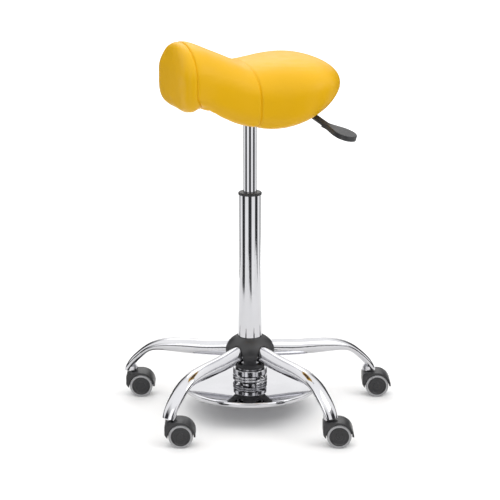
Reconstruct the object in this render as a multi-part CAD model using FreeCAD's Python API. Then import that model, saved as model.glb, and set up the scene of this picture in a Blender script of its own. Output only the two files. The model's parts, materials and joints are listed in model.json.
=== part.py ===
import FreeCAD, Part
import math
import os

from FreeCAD import Vector

# Adjustable swivel saddle stool. Millimetres, +Z up, the sitter faces -Y.
# The origin is on the floor, on the axis of the column.

# ---- wheels and casters ----
WHEEL_DIAMETER = 50.0
WHEEL_WIDTH = 15.0
TREAD_THICKNESS = 5.0
WHEEL_EDGE_RADIUS = 2.0
WHEEL_DISH_DEPTH = 1.5
AXLE_DIAMETER = 6.0
CASTER_TRAIL = 20.0
CASTER_HEADING = 70.0
WEB_HALF_THICKNESS = 5.6
WEB_GAP = 0.6
HOOD_RIM_THICKNESS = 3.6
HOOD_WHEEL_GAP = 1.6
HOOD_NOSE_LENGTH = 32.5
HOOD_SIDE_MARGIN = 1.3
STEM_DIAMETER = 11.0
STEM_ROOT_DIAMETER = 8.0
STEM_LENGTH = 18.0
STEM_END_GAP = 1.0
STEM_ROOT_DEPTH = 22.0
AXLE_BOSS_RADIUS = 8.0
AXLE_END_INSET = 2.5

# ---- five-leg base ----
LEG_COUNT = 5
LEG_AZIMUTH = 16.0
CASTER_CIRCLE_RADIUS = 273.0
LEG_WALL = 2.0
LEG_SECTION_POINTS = 20
HUB_RADIUS = 30.0
HUB_BOTTOM = 92.0
HUB_TOP = 150.0
HUB_FLOOR_THICKNESS = 4.0
HUB_NECK_TOP = 108.0
HUB_NECK_GAP = 0.8
HUB_FLOOR_CLEARANCE = 5.0
HUB_COVER_RADIUS = 52.3
HUB_COVER_WALL = 3.0
HUB_COVER_TOP = 164.0
HUB_COVER_WIDEST = 131.0
HUB_COVER_FOOT_RADIUS = 31.5
HUB_COVER_RIM_GAP = 1.2
HUB_COVER_FOOT_RISE = 3.0
HUB_COVER_STEPS = 10
LEG_OPENING_GAP = 1.5
LEG_OPENING_DROP = 5.0
BUSH_DIAMETER = 24.0
BUSH_HEIGHT = 9.5
BUSH_NECK_DIAMETER = 15.0
BUSH_NECK_HEIGHT = 10.0
CASTER_GAP = 2.0

# ---- column and gas spring ----
SLEEVE_TOP = 473.0
SLEEVE_RADIUS = 22.6
SLEEVE_FOOT_RADIUS = 25.4
SLEEVE_WALL = 1.5
# Height above the sleeve's foot and share of the narrowing from its foot to its top radius.
SLEEVE_FLARE = [(0.0, 0.0), (12.0, 0.0536), (63.0, 0.2321), (107.0, 0.4643), (175.0, 1.0)]
SLOT_COUNT = 9
SLOT_WIDTH = 1.8
SLOT_HEIGHT = 17.0
STANDPIPE_GAP = 0.6
STANDPIPE_WALL = 2.0
STANDPIPE_FLOOR = 4.0
BUSH_FLANGE_LIP = 2.15
BUSH_FLANGE_HEIGHT = 5.5
BUSH_FLANGE_ROUND = 2.2
GUIDE_LENGTH = 62.0
CYLINDER_DIAMETER = 28.0
CYLINDER_WALL = 2.0
CYLINDER_BOTTOM = 320.0
CYLINDER_TILT_DROP = 42.0
TAPER_LENGTH = 46.0
TAPER_NARROWING = 1.3
CYLINDER_HEAD = 12.0
ROD_GUIDE_LENGTH = 25.0
ROD_DIAMETER = 10.0
ROD_BORE = 4.0
ROD_TOP = 440.0
PISTON_LENGTH = 15.0
ROD_SOLID_LENGTH = 40.0
ROD_FOOT_REACH = 1.0
THRUST_RADIUS = 15.0
RACE_THICKNESS = 1.2
CAGE_THICKNESS = 2.2
CAGE_INSET = 1.5
CLIP_THICKNESS = 1.6
CLIP_LIP = 4.0
RUNNING_GAP = 0.05
SLACK_GAP = 0.2

# ---- foot disc and its release ----
DISC_RADIUS = 146.0
DISC_TOP = 61.0
DISC_SHEET = 1.6
DISC_RIM_HEIGHT = 9.0
DISC_EDGE_ROUND = 4.5
DISC_EDGE_CHAMFER = 1.3
DISC_INNER_CHAMFER = 1.0
COLLAR_RADIUS = 36.5
COLLAR_DISC_GAP = 19.5
COLLAR_WALL = 3.0
COLLAR_ROUND = 2.0
POST_OVERHANG = 1.0
SPRING_WIRE = 5.0
SPRING_COLLAR_INSET = 2.1
SPRING_PITCH = 6.2
SPRING_TURNS = 2.0
SPRING_SECTIONS_PER_TURN = 16
SPRING_SEAT_GAP = 0.1
POST_RADIUS = 9.0
POST_BORE = 4.2
PLUNGER_RADIUS = 4.0
NEEDLE_RADIUS = 1.8
PLUNGER_DISC_GAP = 0.5
PLUNGER_SHOULDER_DROP = 2.0
NEEDLE_REACH = 30.0
ROCKER_RADIUS = 16.0
ROCKER_HEIGHT = 10.0
ROCKER_BORE_GAP = 0.7
ROCKER_RISE = 10.0
BOSS_RADIUS = 22.0
BOSS_FLANGE_THICKNESS = 1.6
BOSS_MOUTH_LIP = 3.2
BOSS_HEIGHT = 16.0

# ---- seat ----
SEAT_FRONT = -168.0
SEAT_REAR = 176.0
SEAT_SECTIONS = 22
SECTION_POINTS = 40
COVER_THICKNESS = 1.4
COVER_GAP = 0.15
FRONT_SEAM = -146.0
MIDDLE_SEAM = -22.0
SEAM_GAP = 0.2
SIDE_FULLNESS = 5.0
BOARD_BOTTOM = 694.0
BOARD_THICKNESS = 12.0
BOARD_HALF_WIDTH = 93.0
BOARD_FRONT = -122.0
BOARD_REAR = 126.0
BOARD_CORNER = 60.0
POCKET_MARGIN = 9.0
BELOW_SEAT = 10.0
SEAM_SLICE_HALF_WIDTH = 250.0

# ---- tilt mechanism and lever ----
PLATE_THICKNESS = 2.5
PLATE_HALF_WIDTH = 74.0
PLATE_FRONT = -60.0
PLATE_REAR = 66.0
PLATE_CORNER = 18.0
SCREW_SPACING_X = 124.0
SCREW_SPACING_Y = 106.0
SCREW_DIAMETER = 6.0
SCREW_HEAD_DIAMETER = 12.0
SCREW_HEAD_HEIGHT = 4.0
SCREW_REACH = 8.0
CUT_OVERRUN = 1.0
TILT_Y = -34.0
TILT_BOARD_DROP = 20.0
TILT_PIN_RADIUS = 5.0
TILT_PIN_STUB = 1.0
TILT_PIN_HEAD_THICKNESS = 2.5
TILT_PIN_HEAD_LIP = 2.0
EAR_INSIDE = 37.5
EAR_THICKNESS = 3.0
EAR_HALF_LENGTH = 13.0
BRACKET_GAP = 0.5
BRACKET_WALL = 3.0
BRACKET_HEIGHT = 24.0
BRACKET_REAR = 38.0
BRACKET_TAPER_COVER = 2.0
SOCKET_RADIUS = 19.0
SOCKET_LENGTH = 40.0
LEVER_HEADING = 35.0
LEVER_PIVOT_RADIUS = 66.0
LEVER_BOARD_DROP = 26.0
LEVER_ROD_RADIUS = 4.0
LEVER_BEND_RADIUS = 130.0
LEVER_SLOPE = 26.6
LEVER_DROP_LENGTH = 68.0
LEVER_BEND = 22.0
LEVER_PIN_RADIUS = 2.5
LUG_THICKNESS = 3.0
LUG_HALF_LENGTH = 8.0
LUG_ROD_GAP = 2.0
LEVER_PIN_STUB = 1.0
LEVER_TAIL = 12.0
PADDLE_SLOPE = 17.0
PADDLE_LENGTH = 79.0
PADDLE_HALF_WIDTH = 17.0
PADDLE_THICKNESS = 11.0
PADDLE_NECK = 6.5
GRIP_NECK_LENGTH = 44.0
GRIP_OVERRUN = 2.0
PADDLE_OVERLAP = 12.0
# Share of the paddle's length and share of its full half width, from the neck to the tip.
PADDLE_OUTLINE = [(0.40, 0.78), (0.68, 1.0), (0.90, 0.72), (1.0, 0.0)]
PADDLE_NECK_SHARE = 0.16
CHANNEL_HALF_WIDTH = 9.0
CHANNEL_END = 172.0
CHANNEL_HEADROOM = 3.0

# Place along the seat, crown height, half width, height of the widest line, height of the
# lower edge and fullness of the crown: 2 is an ellipse, more is squarer. Heights are from
# the underside of the board.
SEAT_STATIONS = [
    (-168.0, 81.0, 80.0, 36.0, -12.0, 2.0),
    (-163.0, 95.0, 93.0, 37.0, -24.0, 2.0),
    (-150.0, 104.5, 101.5, 37.0, -29.5, 2.0),
    (-132.0, 102.5, 103.0, 34.0, -18.0, 2.05),
    (-105.0, 91.5, 107.0, 20.0, -32.0, 2.2),
    (-66.0, 75.0, 118.0, 6.0, -51.5, 2.35),
    (-27.0, 60.5, 127.5, -5.0, -61.0, 2.4),
    (20.0, 64.5, 146.0, -9.0, -65.5, 2.4),
    (60.0, 69.0, 161.0, -4.0, -56.5, 2.4),
    (100.0, 69.0, 160.0, 5.0, -35.0, 2.4),
    (132.0, 63.0, 139.0, 12.0, -12.0, 2.3),
    (153.0, 53.0, 109.0, 16.0, 2.0, 2.2),
    (167.0, 41.0, 76.0, 18.0, 9.5, 2.1),
    (176.0, 25.0, 24.0, 20.0, 15.5, 2.0),
]

# The straight run of a leg: distance from the axis, height, half height across the tube and
# half width.
LEG_RUN = [
    (26.0, 130.5, 18.0, 15.0),
    (70.0, 129.0, 18.0, 15.0),
    (115.0, 126.0, 17.0, 15.3),
    (160.0, 125.0, 16.0, 15.5),
]

# The swan neck of a leg: distance from the caster's stem, height above the stem socket's foot,
# half height across the tube and half width.
LEG_NECK = [
    (-83.0, 66.1, 13.9, 16.0),
    (-59.0, 62.3, 10.6, 16.4),
    (-41.0, 55.1, 8.6, 16.6),
    (-27.0, 44.8, 8.3, 16.6),
    (-15.0, 33.8, 8.3, 16.4),
    (-5.5, 23.8, 8.2, 16.0),
    (3.0, 12.3, 8.0, 15.5),
    (8.5, 0.8, 8.0, 15.0),
]
LEG_RUN_CLEARANCE = 20.0
LEG_TRIM_LENGTH = 43.0

WHEEL_RADIUS = WHEEL_DIAMETER / 2
AXLE_RADIUS = AXLE_DIAMETER / 2
STEM_RADIUS = STEM_DIAMETER / 2
CYLINDER_RADIUS = CYLINDER_DIAMETER / 2
ROD_RADIUS = ROD_DIAMETER / 2
HOOD_RADIUS = WHEEL_RADIUS + HOOD_WHEEL_GAP + HOOD_RIM_THICKNESS
HOOD_TOP = WHEEL_RADIUS + HOOD_RADIUS
BUSH_BOTTOM = HOOD_TOP + CASTER_GAP
PLATE_BOTTOM = BOARD_BOTTOM - PLATE_THICKNESS
TILT_Z = BOARD_BOTTOM - TILT_BOARD_DROP
LEVER_Z = BOARD_BOTTOM - LEVER_BOARD_DROP
CYLINDER_TOP = TILT_Z - CYLINDER_TILT_DROP
TAPER_TOP_RADIUS = CYLINDER_RADIUS - TAPER_NARROWING
STANDPIPE_RADIUS = SLEEVE_RADIUS - SLEEVE_WALL - STANDPIPE_GAP
BUSH_FLANGE_RADIUS = SLEEVE_RADIUS + BUSH_FLANGE_LIP
COLLAR_BOTTOM = DISC_TOP + COLLAR_DISC_GAP
ROCKER_CENTRE = DISC_TOP + ROCKER_RISE
BOSS_TOP = DISC_TOP + BOSS_HEIGHT
SPRING_RADIUS = COLLAR_RADIUS - SPRING_COLLAR_INSET
SLEEVE_BOTTOM = HUB_COVER_TOP - 6.5
STANDPIPE_BOTTOM = HUB_BOTTOM + HUB_FLOOR_THICKNESS
ROD_SEAT = STANDPIPE_BOTTOM + STANDPIPE_FLOOR

UP = Vector(0, 0, 1)
AXIS_X = Vector(1, 0, 0)
AXIS_Y = Vector(0, 1, 0)


def save(name, shape):
    shape.exportStep("parts/" + name + ".step")


def heading(degrees):
    angle = math.radians(degrees)
    return Vector(math.cos(angle), math.sin(angle), 0)


def cylinder(radius, low, high):
    return Part.makeCylinder(radius, high - low, Vector(0, 0, low))


def ring(outer, inner, low, high):
    return cylinder(outer, low, high).cut(cylinder(inner, low - 1, high + 1))


def box(low, high):
    size = Vector(*high) - Vector(*low)
    return Part.makeBox(size.x, size.y, size.z, Vector(*low))


def turned(profile):
    """A solid of revolution about Z from (radius, height) corners."""
    points = [Vector(radius, 0, height) for radius, height in profile]
    face = Part.Face(Part.makePolygon(points + points[:1]))
    return face.revolve(Vector(0, 0, 0), UP, 360)


def turned_copy(shape, degrees):
    copy = shape.copy()
    copy.rotate(Vector(0, 0, 0), UP, degrees)
    return copy


def moved(shape, offset):
    copy = shape.copy()
    copy.translate(offset)
    return copy


def smooth_wire(points):
    curve = Part.BSplineCurve()
    curve.interpolate(points, PeriodicFlag=True)
    return Part.Wire([curve.toShape()])


def value_along(stations, column, place):
    """Smooth value of one column of a station list at a place, by cubic Hermite spans."""
    count = len(stations)
    index = 0
    while index < count - 2 and place > stations[index + 1][0]:
        index += 1
    low, high = stations[index], stations[index + 1]
    span = high[0] - low[0]
    part = min(max((place - low[0]) / span, 0.0), 1.0)
    slopes = [station_slope(stations, column, index), station_slope(stations, column, index + 1)]
    square, cube = part ** 2, part ** 3
    return (
        (2 * cube - 3 * square + 1) * low[column]
        + (cube - 2 * square + part) * span * slopes[0]
        + (3 * square - 2 * cube) * high[column]
        + (cube - square) * span * slopes[1]
    )


def station_slope(stations, column, index):
    low = stations[max(index - 1, 0)]
    high = stations[min(index + 1, len(stations) - 1)]
    return (high[column] - low[column]) / (high[0] - low[0])


# ---- seat ----

def seat_section(place, inset):
    """One closed cross-section of the saddle, pulled in by an inset."""
    crown = BOARD_BOTTOM + value_along(SEAT_STATIONS, 1, place) - inset
    half_width = value_along(SEAT_STATIONS, 2, place) - inset
    widest = BOARD_BOTTOM + value_along(SEAT_STATIONS, 3, place)
    edge = BOARD_BOTTOM + value_along(SEAT_STATIONS, 4, place) + inset
    fullness = value_along(SEAT_STATIONS, 5, place)
    points = []
    for step in range(SECTION_POINTS):
        angle = 2 * math.pi * step / SECTION_POINTS
        upper = math.sin(angle) >= 0
        power = 2 / (fullness if upper else SIDE_FULLNESS)
        reach = crown - widest if upper else widest - edge
        across = math.copysign(abs(math.cos(angle)) ** power, math.cos(angle))
        rise = math.copysign(abs(math.sin(angle)) ** power, math.sin(angle))
        points.append(Vector(half_width * across, place, widest + reach * rise))
    return smooth_wire(points)


def seat_form(inset):
    """The saddle-shaped solid: sections gather near both rounded ends."""
    front, rear = SEAT_FRONT + inset, SEAT_REAR - inset
    wires = []
    for index in range(SEAT_SECTIONS):
        share = (1 - math.cos(math.pi * index / (SEAT_SECTIONS - 1))) / 2
        wires.append(seat_section(front + (rear - front) * share, inset))
    return Part.makeLoft(wires, True, False)


def rounded_slab(half_width, front, rear, corner, low, high):
    slab = box((-half_width, front, low), (half_width, rear, high))
    edges = [edge for edge in slab.Edges if abs(edge.tangentAt(edge.FirstParameter).z) > 0.99]
    return slab.makeFillet(corner, edges)


def seat_board():
    top = BOARD_BOTTOM + BOARD_THICKNESS
    board = rounded_slab(BOARD_HALF_WIDTH, BOARD_FRONT, BOARD_REAR, BOARD_CORNER, BOARD_BOTTOM, top)
    hole_top = BOARD_BOTTOM + SCREW_REACH + CUT_OVERRUN
    hole = cylinder(SCREW_DIAMETER / 2, BOARD_BOTTOM - CUT_OVERRUN, hole_top)
    for x, y in screw_places():
        board = board.cut(moved(hole, Vector(x, y, 0)))
    return board


def seat_lowest():
    return BOARD_BOTTOM + min(station[4] for station in SEAT_STATIONS)


def seat_pocket():
    """The hollow under the seat, up to the board."""
    return rounded_slab(
        BOARD_HALF_WIDTH - POCKET_MARGIN,
        BOARD_FRONT + POCKET_MARGIN,
        BOARD_REAR - POCKET_MARGIN,
        BOARD_CORNER - POCKET_MARGIN,
        seat_lowest() - BELOW_SEAT,
        BOARD_BOTTOM,
    )


def lever_channel():
    """The relief under the left flap that the lever's rod passes through."""
    low = seat_lowest() - BELOW_SEAT
    roof = LEVER_Z + LEVER_ROD_RADIUS + CHANNEL_HEADROOM
    channel = box((LEVER_PIVOT_RADIUS, -CHANNEL_HALF_WIDTH, low), (CHANNEL_END, CHANNEL_HALF_WIDTH, roof))
    return turned_copy(channel, LEVER_HEADING)


def seat_foam():
    board_space = rounded_slab(
        BOARD_HALF_WIDTH + COVER_GAP, BOARD_FRONT - COVER_GAP, BOARD_REAR + COVER_GAP, BOARD_CORNER,
        BOARD_BOTTOM, BOARD_BOTTOM + BOARD_THICKNESS + COVER_GAP,
    )
    return seat_form(COVER_THICKNESS + COVER_GAP).cut(seat_pocket()).cut(lever_channel()).cut(board_space)


def cover_panels():
    """Three sewn panels of the cover, split at its two cross seams."""
    skin = seat_form(0).cut(seat_form(COVER_THICKNESS)).cut(seat_pocket()).cut(lever_channel())
    bounds = [SEAT_FRONT - 5, FRONT_SEAM, MIDDLE_SEAM, SEAT_REAR + 5]
    panels = []
    for front, rear in zip(bounds, bounds[1:]):
        slice_box = box(
            (-SEAM_SLICE_HALF_WIDTH, front + SEAM_GAP / 2, seat_lowest() - BELOW_SEAT),
            (SEAM_SLICE_HALF_WIDTH, rear - SEAM_GAP / 2, seat_lowest() + 2 * SEAM_SLICE_HALF_WIDTH),
        )
        panels.extend(skin.common(slice_box).Solids)
    return Part.makeCompound(panels)


# ---- tilt mechanism ----

def screw_places():
    return [(sx * SCREW_SPACING_X / 2, sy * SCREW_SPACING_Y / 2) for sx in (-1, 1) for sy in (-1, 1)]


def seat_screws():
    screws = []
    for x, y in screw_places():
        shank = cylinder(SCREW_DIAMETER / 2, PLATE_BOTTOM - CUT_OVERRUN, BOARD_BOTTOM + SCREW_REACH)
        head = cylinder(SCREW_HEAD_DIAMETER / 2, PLATE_BOTTOM - SCREW_HEAD_HEIGHT, PLATE_BOTTOM)
        screws.append(moved(shank.fuse(head).removeSplitter(), Vector(x, y, 0)))
    return Part.makeCompound(screws)


def lever_place(distance, height):
    return heading(LEVER_HEADING) * distance + UP * height


def lever_side():
    return heading(LEVER_HEADING - 90)


def lever_lugs():
    """Two lugs that hold the lever's pin, made along X and turned to the lever's heading."""
    inside = LEVER_ROD_RADIUS + LUG_ROD_GAP
    lugs = []
    for side in (-1, 1):
        near, far = sorted((side * inside, side * (inside + LUG_THICKNESS)))
        lug = box(
            (LEVER_PIVOT_RADIUS - LUG_HALF_LENGTH, near, LEVER_Z - LUG_HALF_LENGTH),
            (LEVER_PIVOT_RADIUS + LUG_HALF_LENGTH, far, PLATE_BOTTOM),
        )
        lugs.append(lug)
    reach = inside + LUG_THICKNESS + CUT_OVERRUN
    hole_start = Vector(LEVER_PIVOT_RADIUS, -reach, LEVER_Z)
    hole = Part.makeCylinder(LEVER_PIN_RADIUS + RUNNING_GAP, 2 * reach, hole_start, AXIS_Y)
    return [turned_copy(lug.cut(hole), LEVER_HEADING) for lug in lugs]


def seat_plate():
    plate = rounded_slab(PLATE_HALF_WIDTH, PLATE_FRONT, PLATE_REAR, PLATE_CORNER, PLATE_BOTTOM, BOARD_BOTTOM)
    hole = cylinder(SCREW_DIAMETER / 2, PLATE_BOTTOM - CUT_OVERRUN, BOARD_BOTTOM + CUT_OVERRUN)
    for x, y in screw_places():
        plate = plate.cut(moved(hole, Vector(x, y, 0)))
    for side in (-1, 1):
        near, far = sorted((side * EAR_INSIDE, side * (EAR_INSIDE + EAR_THICKNESS)))
        ear = box((near, TILT_Y - EAR_HALF_LENGTH, TILT_Z), (far, TILT_Y + EAR_HALF_LENGTH, PLATE_BOTTOM))
        tip = Part.makeCylinder(EAR_HALF_LENGTH, EAR_THICKNESS, Vector(near, TILT_Y, TILT_Z), AXIS_X)
        plate = plate.fuse(ear).fuse(tip)
    plate = plate.cut(tilt_bore(RUNNING_GAP)).fuse(lever_lugs())
    return plate.removeSplitter()


def tilt_bore(gap):
    reach = EAR_INSIDE + EAR_THICKNESS + CUT_OVERRUN
    return Part.makeCylinder(TILT_PIN_RADIUS + gap, 2 * reach, Vector(-reach, TILT_Y, TILT_Z), AXIS_X)


def tilt_pin():
    reach = EAR_INSIDE + EAR_THICKNESS + TILT_PIN_STUB
    pin = Part.makeCylinder(TILT_PIN_RADIUS, 2 * reach, Vector(-reach, TILT_Y, TILT_Z), AXIS_X)
    head_radius = TILT_PIN_RADIUS + TILT_PIN_HEAD_LIP
    for x in (-reach - TILT_PIN_HEAD_THICKNESS, reach):
        start = Vector(x, TILT_Y, TILT_Z)
        pin = pin.fuse(Part.makeCylinder(head_radius, TILT_PIN_HEAD_THICKNESS, start, AXIS_X))
    return pin.removeSplitter()


def tilt_bracket():
    """A folded channel round the tapered socket that grips the gas cylinder."""
    half = EAR_INSIDE - BRACKET_GAP
    low = CYLINDER_TOP + TAPER_LENGTH - BRACKET_HEIGHT + BRACKET_TAPER_COVER
    high = low + BRACKET_HEIGHT
    front = TILT_Y - EAR_HALF_LENGTH
    shell = box((-half, front, low), (half, BRACKET_REAR, high))
    hollow_half = half - BRACKET_WALL
    hollow = box(
        (-hollow_half, front - CUT_OVERRUN, low - CUT_OVERRUN),
        (hollow_half, BRACKET_REAR + CUT_OVERRUN, high - BRACKET_WALL),
    )
    socket_low = high - SOCKET_LENGTH
    socket = cylinder(SOCKET_RADIUS, socket_low, high)
    body = shell.cut(hollow).fuse(socket)
    return body.cut(gas_taper()).cut(tilt_bore(0)).removeSplitter()


def gas_taper():
    cone = Part.makeCone(CYLINDER_RADIUS, TAPER_TOP_RADIUS, TAPER_LENGTH, Vector(0, 0, CYLINDER_TOP))
    top = CYLINDER_TOP + TAPER_LENGTH
    return cone.fuse(cylinder(TAPER_TOP_RADIUS, top, top + BRACKET_TAPER_COVER + CUT_OVERRUN))


def lever_path():
    """The rod's centre line: level from its pivot, one bend, then down to the paddle."""
    slope = math.radians(LEVER_SLOPE)
    start = lever_place(LEVER_PIVOT_RADIUS - LEVER_TAIL, LEVER_Z)
    corner = lever_place(LEVER_BEND_RADIUS, LEVER_Z)
    along = heading(LEVER_HEADING)
    down = along * math.cos(slope) - UP * math.sin(slope)
    cut_back = LEVER_BEND * math.tan(slope / 2)
    bend_start = corner - along * cut_back
    bend_end = corner + down * cut_back
    toward_centre = (down - along).normalize()
    apex_distance = LEVER_BEND / math.cos(slope / 2) - LEVER_BEND
    middle = corner + toward_centre * apex_distance
    end = corner + down * LEVER_DROP_LENGTH
    return start, bend_start, middle, bend_end, end


def lever_rod():
    start, bend_start, middle, bend_end, end = lever_path()
    edges = [
        Part.LineSegment(start, bend_start).toShape(),
        Part.Arc(bend_start, middle, bend_end).toShape(),
        Part.LineSegment(bend_end, end).toShape(),
    ]
    along = heading(LEVER_HEADING)
    circle = Part.Wire([Part.makeCircle(LEVER_ROD_RADIUS, start, along)])
    rod = Part.Wire(edges).makePipeShell([circle], True, False)
    reach = LEVER_ROD_RADIUS + LUG_ROD_GAP + LUG_THICKNESS + LEVER_PIN_STUB
    centre = lever_place(LEVER_PIVOT_RADIUS, LEVER_Z)
    pin = Part.makeCylinder(LEVER_PIN_RADIUS, 2 * reach, centre - lever_side() * reach, lever_side())
    return rod.fuse(pin).removeSplitter()


def lever_paddle():
    """A teardrop grip with a round neck, pressed over the rod's end."""
    slope = math.radians(PADDLE_SLOPE)
    along = heading(LEVER_HEADING) * math.cos(slope) - UP * math.sin(slope)
    side = lever_side()
    normal = side.cross(along).normalize()
    end = lever_path()[4]
    root = end - along * PADDLE_OVERLAP
    outline = [(0.0, PADDLE_NECK), (PADDLE_NECK_SHARE, PADDLE_NECK)]
    outline += [(share, PADDLE_HALF_WIDTH * width) for share, width in PADDLE_OUTLINE]
    right = [root + along * (PADDLE_LENGTH * share) + side * width for share, width in outline]
    left = [root + along * (PADDLE_LENGTH * share) - side * width for share, width in outline]
    curve = Part.BSplineCurve()
    curve.interpolate(right[1:] + left[-2:0:-1])
    straight = Part.makePolygon([left[1], left[0], right[0], right[1]])
    wire = Part.Wire([curve.toShape()] + straight.Edges)
    plate = Part.Face(wire).extrude(normal * PADDLE_THICKNESS)
    plate = moved(plate, normal * (-PADDLE_THICKNESS / 2))
    rod_slope = math.radians(LEVER_SLOPE)
    rod_down = heading(LEVER_HEADING) * math.cos(rod_slope) - UP * math.sin(rod_slope)
    neck_start = end - rod_down * (GRIP_NECK_LENGTH - GRIP_OVERRUN)
    neck = Part.makeCylinder(PADDLE_NECK, GRIP_NECK_LENGTH, neck_start, rod_down)
    return plate.fuse(neck).removeSplitter().cut(lever_rod())


# ---- column ----

def column_sleeve():
    narrowing = SLEEVE_FOOT_RADIUS - SLEEVE_RADIUS
    outer = [(SLEEVE_FOOT_RADIUS - narrowing * share, SLEEVE_BOTTOM + rise) for rise, share in SLEEVE_FLARE]
    outer.append((SLEEVE_RADIUS, SLEEVE_TOP))
    inner = [(radius - SLEEVE_WALL, height) for radius, height in reversed(outer)]
    sleeve = turned(outer + inner)
    for index in range(SLOT_COUNT):
        low = (0, -SLOT_WIDTH / 2, SLEEVE_BOTTOM - CUT_OVERRUN)
        slot = box(low, (SLEEVE_FOOT_RADIUS + CUT_OVERRUN, SLOT_WIDTH / 2, SLEEVE_BOTTOM + SLOT_HEIGHT))
        sleeve = sleeve.cut(turned_copy(slot, 360 * index / SLOT_COUNT))
    return sleeve


def standpipe():
    inside = STANDPIPE_RADIUS - STANDPIPE_WALL
    pipe = ring(STANDPIPE_RADIUS, inside, STANDPIPE_BOTTOM, SLEEVE_TOP)
    floor = ring(inside, ROD_RADIUS + SLACK_GAP, STANDPIPE_BOTTOM, ROD_SEAT)
    return pipe.fuse(floor).removeSplitter()


def guide_bush():
    plug = STANDPIPE_RADIUS - STANDPIPE_WALL
    bore = CYLINDER_RADIUS + RUNNING_GAP
    top = SLEEVE_TOP + BUSH_FLANGE_HEIGHT
    body = cylinder(plug, SLEEVE_TOP - GUIDE_LENGTH, SLEEVE_TOP)
    flange = cylinder(BUSH_FLANGE_RADIUS, SLEEVE_TOP, top)
    rim = [edge for edge in flange.Edges if abs(edge.CenterOfMass.z - top) < 0.01]
    flange = flange.makeFillet(BUSH_FLANGE_ROUND, rim)
    return body.fuse(flange).removeSplitter().cut(cylinder(bore, SLEEVE_TOP - GUIDE_LENGTH - 1, top + 1))


def gas_cylinder():
    tube = cylinder(CYLINDER_RADIUS, CYLINDER_BOTTOM, CYLINDER_TOP)
    cone = Part.makeCone(CYLINDER_RADIUS, TAPER_TOP_RADIUS, TAPER_LENGTH, Vector(0, 0, CYLINDER_TOP))
    bore = cylinder(CYLINDER_RADIUS - CYLINDER_WALL, CYLINDER_BOTTOM - 1, CYLINDER_TOP - CYLINDER_HEAD)
    return tube.fuse(cone).removeSplitter().cut(bore)


def rod_guide():
    outer = CYLINDER_RADIUS - CYLINDER_WALL
    return ring(outer, ROD_RADIUS + RUNNING_GAP, CYLINDER_BOTTOM, CYLINDER_BOTTOM + ROD_GUIDE_LENGTH)


def piston_rod():
    rod = cylinder(ROD_RADIUS, STANDPIPE_BOTTOM - ROD_FOOT_REACH, ROD_TOP)
    piston = cylinder(CYLINDER_RADIUS - CYLINDER_WALL - RUNNING_GAP, ROD_TOP - PISTON_LENGTH, ROD_TOP)
    bore_top = ROD_TOP - PISTON_LENGTH - ROD_SOLID_LENGTH
    bore = cylinder(ROD_BORE / 2, STANDPIPE_BOTTOM - ROD_FOOT_REACH - CUT_OVERRUN, bore_top)
    return rod.fuse(piston).removeSplitter().cut(bore)


def thrust_bearing():
    """Two races with a ball cage between them, under a shoulder clip."""
    race = (THRUST_RADIUS, RACE_THICKNESS)
    cage = (THRUST_RADIUS - CAGE_INSET, CAGE_THICKNESS)
    rows = [race, cage, race, (ROD_RADIUS + CLIP_LIP, CLIP_THICKNESS)]
    rings = []
    low = ROD_SEAT
    for radius, height in rows:
        rings.append(ring(radius, ROD_RADIUS, low, low + height))
        low += height
    return Part.makeCompound(rings)


# ---- base ----

def oval_wire(centre, side, upward, half_width, half_height):
    points = []
    for step in range(LEG_SECTION_POINTS):
        angle = 2 * math.pi * step / LEG_SECTION_POINTS
        across = side * (half_width * math.cos(angle))
        points.append(centre + across + upward * (half_height * math.sin(angle)))
    return smooth_wire(points)


def leg_stations():
    """The run and the neck in one list, without the part of the run that the neck takes over."""
    neck = []
    for reach, rise, half_height, half_width in LEG_NECK:
        neck.append((CASTER_CIRCLE_RADIUS + reach, BUSH_BOTTOM + rise, half_height, half_width))
    run = [station for station in LEG_RUN if station[0] < neck[0][0] - LEG_RUN_CLEARANCE]
    return run + neck


def leg_form(inset):
    """The swan-neck tube along +X, from the hub to the caster, before it is trimmed."""
    wires = []
    stations = leg_stations()
    for index, (reach, height, half_height, half_width) in enumerate(stations):
        slope = station_slope(stations, 1, index)
        upward = Vector(-slope, 0, 1).normalize()
        centre = Vector(reach, 0, height)
        wires.append(oval_wire(centre, AXIS_Y, upward, half_width - inset, half_height - inset))
    return Part.makeLoft(wires, True, False)


def caster_bush():
    """The stem socket under a leg's end, made on the X axis."""
    shoulder = BUSH_BOTTOM + BUSH_HEIGHT
    body = cylinder(BUSH_DIAMETER / 2, BUSH_BOTTOM, shoulder)
    neck = cylinder(BUSH_NECK_DIAMETER / 2, shoulder, shoulder + BUSH_NECK_HEIGHT)
    bore_top = BUSH_BOTTOM + STEM_LENGTH - STEM_END_GAP
    bore = cylinder(STEM_RADIUS + RUNNING_GAP, BUSH_BOTTOM - CUT_OVERRUN, bore_top)
    return moved(body.fuse(neck).removeSplitter().cut(bore), Vector(CASTER_CIRCLE_RADIUS, 0, 0))


def bush_space():
    shoulder = BUSH_BOTTOM + BUSH_HEIGHT
    body = cylinder(BUSH_DIAMETER / 2, BUSH_BOTTOM - 5, shoulder)
    neck = cylinder(BUSH_NECK_DIAMETER / 2, shoulder, shoulder + BUSH_NECK_HEIGHT)
    return moved(body.fuse(neck), Vector(CASTER_CIRCLE_RADIUS, 0, 0))


def leg():
    tube = leg_form(0).cut(leg_form(LEG_WALL))
    tube = tube.cut(cylinder(HUB_RADIUS, HUB_BOTTOM - HUB_RADIUS, HUB_TOP + HUB_RADIUS))
    stem = CASTER_CIRCLE_RADIUS
    trim_low = BUSH_BOTTOM - LEG_TRIM_LENGTH
    trim = box(
        (stem - LEG_TRIM_LENGTH, -LEG_TRIM_LENGTH, trim_low),
        (stem + LEG_TRIM_LENGTH, LEG_TRIM_LENGTH, BUSH_BOTTOM + CUT_OVERRUN),
    )
    tube = tube.cut(trim)
    return tube.cut(bush_space())


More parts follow.
